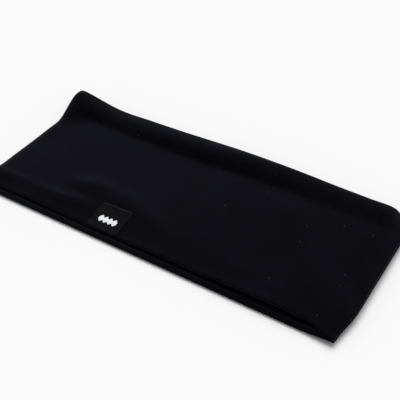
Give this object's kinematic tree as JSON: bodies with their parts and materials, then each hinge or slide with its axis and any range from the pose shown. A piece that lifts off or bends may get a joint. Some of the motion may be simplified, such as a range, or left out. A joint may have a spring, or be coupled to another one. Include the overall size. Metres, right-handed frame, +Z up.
{
  "type": "headband",
  "caption": "Wide tubular stretch headband of doubled black jersey, lying flat as two layers, with a folded label on one edge and an inner seam; its loop opens to an oval for a head.",
  "frame": {"origin": "on the table, under the centre of the flat-lying band", "axes": "+X along the flattened loop from the fold to the closing seam, +Y across the band away from the labelled edge, +Z up"},
  "size_m": [0.23, 0.097, 0.01],
  "materials": {
    "shell_jersey": "matte smooth knitted jersey",
    "lining_jersey": "matte smooth knitted jersey",
    "label_tape": "fine woven satin tape",
    "black_thread": "polyester sewing thread",
    "white_thread": "woven white thread"
  },
  "bodies": {
    "back_center": {"back_shell_center": "shell_jersey", "back_lining_center": "lining_jersey"},
    "back_left": {"back_shell_left": "shell_jersey", "back_lining_left": "lining_jersey"},
    "front_left": {"front_shell_left": "shell_jersey", "front_lining_left": "lining_jersey"},
    "front_center": {"front_shell_center": "shell_jersey", "front_lining_center": "lining_jersey", "hem_label": "label_tape", "label_mark": "white_thread", "label_stitching": "black_thread"},
    "front_right": {"front_shell_right": "shell_jersey", "front_lining_right": "lining_jersey", "seam_allowance": "lining_jersey", "seam_stitching": "black_thread"},
    "back_right": {"back_shell_right": "shell_jersey", "back_lining_right": "lining_jersey"}
  },
  "joints": [
    {"name": "mouth_opening", "type": "hinge", "parent": "back_center", "child": "back_left", "pos_m": [-0.046, 0, 0.0016], "axis": [0, 1, 0], "range_deg": [0, 60]},
    {"name": "end_fold", "type": "hinge", "parent": "back_left", "child": "front_left", "pos_m": [-0.115, 0, 0.0043], "axis": [0, 1, 0], "range_deg": [-120, 0]},
    {"name": "front_left_crease", "type": "hinge", "parent": "front_left", "child": "front_center", "pos_m": [-0.046, 0, 0.007], "axis": [0, 1, 0], "range_deg": [0, 60]},
    {"name": "front_right_crease", "type": "hinge", "parent": "front_center", "child": "front_right", "pos_m": [0.046, 0, 0.007], "axis": [0, 1, 0], "range_deg": [0, 60]},
    {"name": "back_right_crease", "type": "hinge", "parent": "back_center", "child": "back_right", "pos_m": [0.046, 0, 0.0016], "axis": [0, 1, 0], "range_deg": [-60, 0]}
  ],
  "couplings": [
    {"joint": "end_fold", "follows": "mouth_opening", "ratio": -2},
    {"joint": "front_left_crease", "follows": "mouth_opening", "ratio": 1},
    {"joint": "front_right_crease", "follows": "mouth_opening", "ratio": 1},
    {"joint": "back_right_crease", "follows": "mouth_opening", "ratio": -1}
  ]
}
